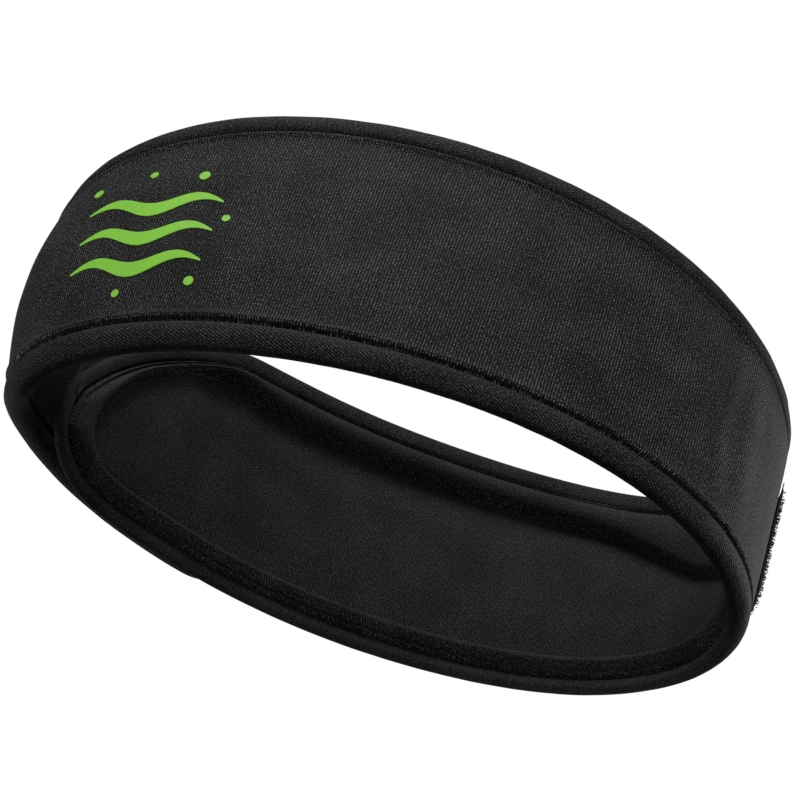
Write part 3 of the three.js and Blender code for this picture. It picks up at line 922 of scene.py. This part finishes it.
# Loop patch: a woven ground sewn along both selvages to the outside of the strap, covered with soft
# nylon loops about 1 mm high. It starts at the right turn, where its edge stands a little clear.
LOOP_FROM, LOOP_TO = -10, 138
LOOP_SPACING, LOOP_THICK, FREE_EDGE_LIFT = 1.25, 0.13, 0.5
PATCH_INSET, SELVAGE = 11.5, 2.2
PATCH_SEAT, PILE_SEAT = 2.1, 2.4
PATCH_ROWS, PATCH_BACK_ROWS = 60, 18
THREAD_WEAVE = 0.5
random.seed(311)


def patch_edges(length, t):
    """The lower and the upper side of a patch at t."""
    low, high, flat_low, flat_high = length.edges(t)
    return low + PATCH_INSET / flat_low, high - PATCH_INSET / flat_high


def patch_ground(name, length, start, stop, way, lift, material):
    """The woven ground: thin selvages each side of a slightly thicker middle."""
    s0, s1 = run(start), run(stop)

    def place(a, b):
        t = turn(s0 + (s1 - s0) * a)
        low, high = patch_edges(length, t)
        share, shown = section(round(b * PATCH_ROWS), PATCH_ROWS, PATCH_BACK_ROWS)
        z = low + (high - low) * share
        from_side = min(z - low, high - z)
        body = 0.25 + 0.25 * smooth(SELVAGE - 0.5, SELVAGE + 0.3, from_side) if shown else 0
        stand = PATCH_SEAT + lift(t) + body
        return length.place(t, z, way * stand), (s0 + (s1 - s0) * a, z + PATCH_UV)

    return closed_strip(name, round((s1 - s0) / 1.2), PATCH_ROWS, place, material)


def woven_ground(name, code_low, code_high):
    """Woven nylon ground: fine over-and-under threads, flat and slightly shiny."""
    material, tree = blank(name)
    cloth = node(tree, "ShaderNodeUVMap", uv_map="cloth")
    threads = {"Vector": cloth.outputs[0], "Scale": WAVE_BAND / THREAD_WEAVE}
    warp = node(tree, "ShaderNodeTexWave", threads, bands_direction="X")
    weft = node(tree, "ShaderNodeTexWave", threads, bands_direction="Y")
    weave = node(tree, "ShaderNodeMath", {
        0: warp.outputs["Fac"], 1: weft.outputs["Fac"],
    }, operation="MAXIMUM")
    tint = node(tree, "ShaderNodeMix", {
        0: weave.outputs[0], 6: linear(code_low), 7: linear(code_high),
    }, data_type="RGBA")
    relief = node(tree, "ShaderNodeBump", {
        "Strength": 0.5, "Distance": 0.15 * MM, "Height": weave.outputs[0],
    })
    shader = node(tree, "ShaderNodeBsdfPrincipled", {
        "Base Color": tint.outputs[2], "Roughness": 0.6, "Normal": relief.outputs[0], "IOR": 1.53,
    })
    node(tree, "ShaderNodeOutputMaterial", {"Surface": shader.outputs[0]})
    return material


def filament(name, code_low, code_high, rough):
    """Bare nylon filament: black, a little uneven, with a dull glint."""
    material, tree = blank(name)
    here = node(tree, "ShaderNodeTexCoord")
    strand = node(tree, "ShaderNodeTexNoise", {
        "Vector": here.outputs["Object"], "Scale": 1 / (1.2 * MM), "Detail": 2.0,
    })
    tint = node(tree, "ShaderNodeMix", {
        0: strand.outputs["Fac"], 6: linear(code_low), 7: linear(code_high),
    }, data_type="RGBA")
    shader = node(tree, "ShaderNodeBsdfPrincipled", {
        "Base Color": tint.outputs[2], "Roughness": rough, "IOR": 1.53, "Specular IOR Level": 0.2,
    })
    node(tree, "ShaderNodeOutputMaterial", {"Surface": shader.outputs[0]})
    return material


def bristles(name, roots, sides, path, material):
    """Grows every bristle at once: a small ring at each root, extruded one step of the path at a time."""
    bm = bmesh.new()
    owner = bm.verts.layers.int.new("bristle")
    for k, (point, outwards, _, thick) in enumerate(roots):
        turned = Matrix.Translation(point) @ outwards.to_track_quat("Z", "Y").to_matrix().to_4x4()
        made = bmesh.ops.create_circle(bm, segments=sides, radius=thick, matrix=turned)
        for vert in made["verts"]:
            vert[owner] = k
    edges = list(bm.edges)
    for shift in path:
        grown = bmesh.ops.extrude_edge_only(bm, edges=edges)["geom"]
        edges = [e for e in grown if isinstance(e, bmesh.types.BMEdge) and e.is_boundary]
        for vert in {v for e in edges for v in e.verts}:
            vert.co += shift(*roots[vert[owner]][1:3], vert[owner])
    bmesh.ops.holes_fill(bm, edges=[e for e in bm.edges if e.is_boundary], sides=0)
    bmesh.ops.recalc_face_normals(bm, faces=bm.faces)
    return finish_piece(bm, name, material, smooth_angle=70)


def roots_on(length, start, stop, way, height, spacing, thick):
    """Evenly scattered roots over a patch, with the directions outwards and along."""
    made = []
    stray = 0.45 * spacing
    s = run(start) + 0.3
    while s < run(stop) - 0.3:
        t = turn(s)
        low, high = patch_edges(length, t)
        z = low + SELVAGE
        while z < high - SELVAGE:
            where = turn(s + random.uniform(-stray, stray))
            point = length.place(where, z + random.uniform(-stray, stray), way * height(where))
            outwards = wall(where)[1].to_3d() * way
            made.append((point, outwards, outwards.cross(Vector((0, 0, 1))), thick * MM))
            z += spacing
        s += spacing
    return made


def loop_lift(t):
    """The free start of the patch stands a little off the strap."""
    return FREE_EDGE_LIFT * (1 - smooth(-9, 14, t))


def loop_seat(t):
    """How far out of the strap's middle the loops are rooted."""
    return PILE_SEAT + loop_lift(t)


def loop_step(reach, aside, seed_shift):
    """One step along a loop: out from the ground and aside, each loop turned its own way."""
    def shift(outwards, along, k):
        angle = k * 2.4 + seed_shift
        lean = along * math.cos(angle) + Vector((0, 0, 1)) * math.sin(angle)
        size = 0.75 + 0.5 * ((k * 0.618) % 1)
        return (outwards * reach + lean * aside) * size * MM
    return shift


loop_weave = woven_ground("woven nylon ground", "#030303", "#0c0c0d")
loop_ground = patch_ground("loop_patch_ground", strap, LOOP_FROM, LOOP_TO, 1, loop_lift, loop_weave)
loop_roots = roots_on(strap, LOOP_FROM, LOOP_TO, 1, loop_seat, LOOP_SPACING, LOOP_THICK)
loop_pile = bristles(
    "loop_patch_pile", loop_roots, 3,
    (
        loop_step(0.45, 0.1, 0), loop_step(0.3, 0.3, 0.5),
        loop_step(0.0, 0.45, 1.1), loop_step(-0.35, 0.2, 1.7),
    ),
    filament("brushed nylon loops", "#060606", "#1a1a1b", 0.75),
)
for piece in (loop_ground, loop_pile):
    follow(piece, strap)
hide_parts("loop_patch")


# Hook patch: the stiff half of the closure, on the inner face of the tab, hidden until it is peeled
# back. Rows of moulded nylon hooks about 0.8 mm high stand on the same kind of ground.
HOOK_FROM, HOOK_TO = 111, 150
HOOK_SPACING, HOOK_THICK = 1.5, 0.13


def hook_step(reach, aside):
    """One step along a hook: out from the ground, then over to one side or the other in turn."""
    return lambda outwards, along, k: (outwards * reach + along * (aside if k % 2 else -aside)) * MM


hook_weave = woven_ground("woven hook ground", "#050505", "#141415")
hook_ground = patch_ground("hook_patch_ground", tab, HOOK_FROM, HOOK_TO, -1, lambda t: 0, hook_weave)
hook_roots = roots_on(tab, HOOK_FROM, HOOK_TO, -1, lambda t: PILE_SEAT, HOOK_SPACING, HOOK_THICK)
hook_pile = bristles(
    "hook_patch_hooks", hook_roots, 4,
    (hook_step(0.55, 0), hook_step(0.25, 0.12), hook_step(0.02, 0.22), hook_step(-0.18, 0.1)),
    filament("moulded nylon hooks", "#0b0b0b", "#1d1d1e", 0.4),
)
for piece in (hook_ground, hook_pile):
    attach(piece, "outer_tab")
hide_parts("hook_patch")


# Patch sewing: a straight row of thread down the middle of each selvage holds the patches on.
# It is the same spun polyester as the seams, sewn in longer stitches.
PATCH_STITCH, PATCH_STITCH_PITCH, PATCH_STITCH_RADIUS, PATCH_STITCH_SEAT = 1.9, 2.5, 0.2, 2.42


def patch_row(name, length, start, stop, way, lift, upper):
    """A row of stitches along the upper or the lower selvage of a patch."""
    bm = bmesh.new()
    s, last = run(start) + 0.8, run(stop) - 2.2
    while s < last:
        ends = []
        for k in (0, PATCH_STITCH):
            t = turn(s + k)
            low, high = patch_edges(length, t)
            z = high - SELVAGE / 2 if upper else low + SELVAGE / 2
            ends.append(length.place(t, z + random.uniform(-0.08, 0.08), way * (PATCH_STITCH_SEAT + lift(t))))
        stitch(bm, *ends, PATCH_STITCH_RADIUS * MM, wall(turn(s))[1].to_3d() * way)
        s += PATCH_STITCH_PITCH
    bmesh.ops.recalc_face_normals(bm, faces=bm.faces)
    piece = finish_piece(bm, name, sewing_thread)
    return piece


for upper, edge in ((False, "bottom"), (True, "top")):
    row = patch_row(f"loop_sewing_{edge}", strap, LOOP_FROM, LOOP_TO, 1, loop_lift, upper)
    follow(row, strap)
    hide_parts(f"loop_patch_{edge}_thread")
    row = patch_row(f"hook_sewing_{edge}", tab, HOOK_FROM, HOOK_TO, -1, lambda t: 0, upper)
    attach(row, "outer_tab")
    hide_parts(f"hook_patch_{edge}_thread")


# Bar tack: a short block of close, slightly slanting stitches through the tape at the strap's tip,
# where the tape turns sharply back along the top edge.
TACK_STITCHES, TACK_PITCH, TACK_RADIUS = 9, 0.45, 0.22
strap_path = rims["strap"][1]
steps = len(strap_path) - 1
tip = max(range(steps + 1), key=lambda i: strap_path[i][0] + 0.3 * strap_path[i][1]) / steps
bm = bmesh.new()
for k in range(TACK_STITCHES):
    share = tip + (k - TACK_STITCHES / 2) * TACK_PITCH / steps
    ends = [
        on_rim(strap, strap_path, 1, share + slant, d, -TAPE_BULGE - 0.1 - random.uniform(0, 0.1))
        for d, slant in ((1.3, 0), (4.6, 0.0004))
    ]
    stitch(bm, *ends, TACK_RADIUS * MM, -wall(STRAP_END)[1].to_3d())
bmesh.ops.recalc_face_normals(bm, faces=bm.faces)
tack = finish_piece(bm, "tip_bar_tack", sewing_thread)
follow(tack, strap)
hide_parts("strap_tape_bar_tack")
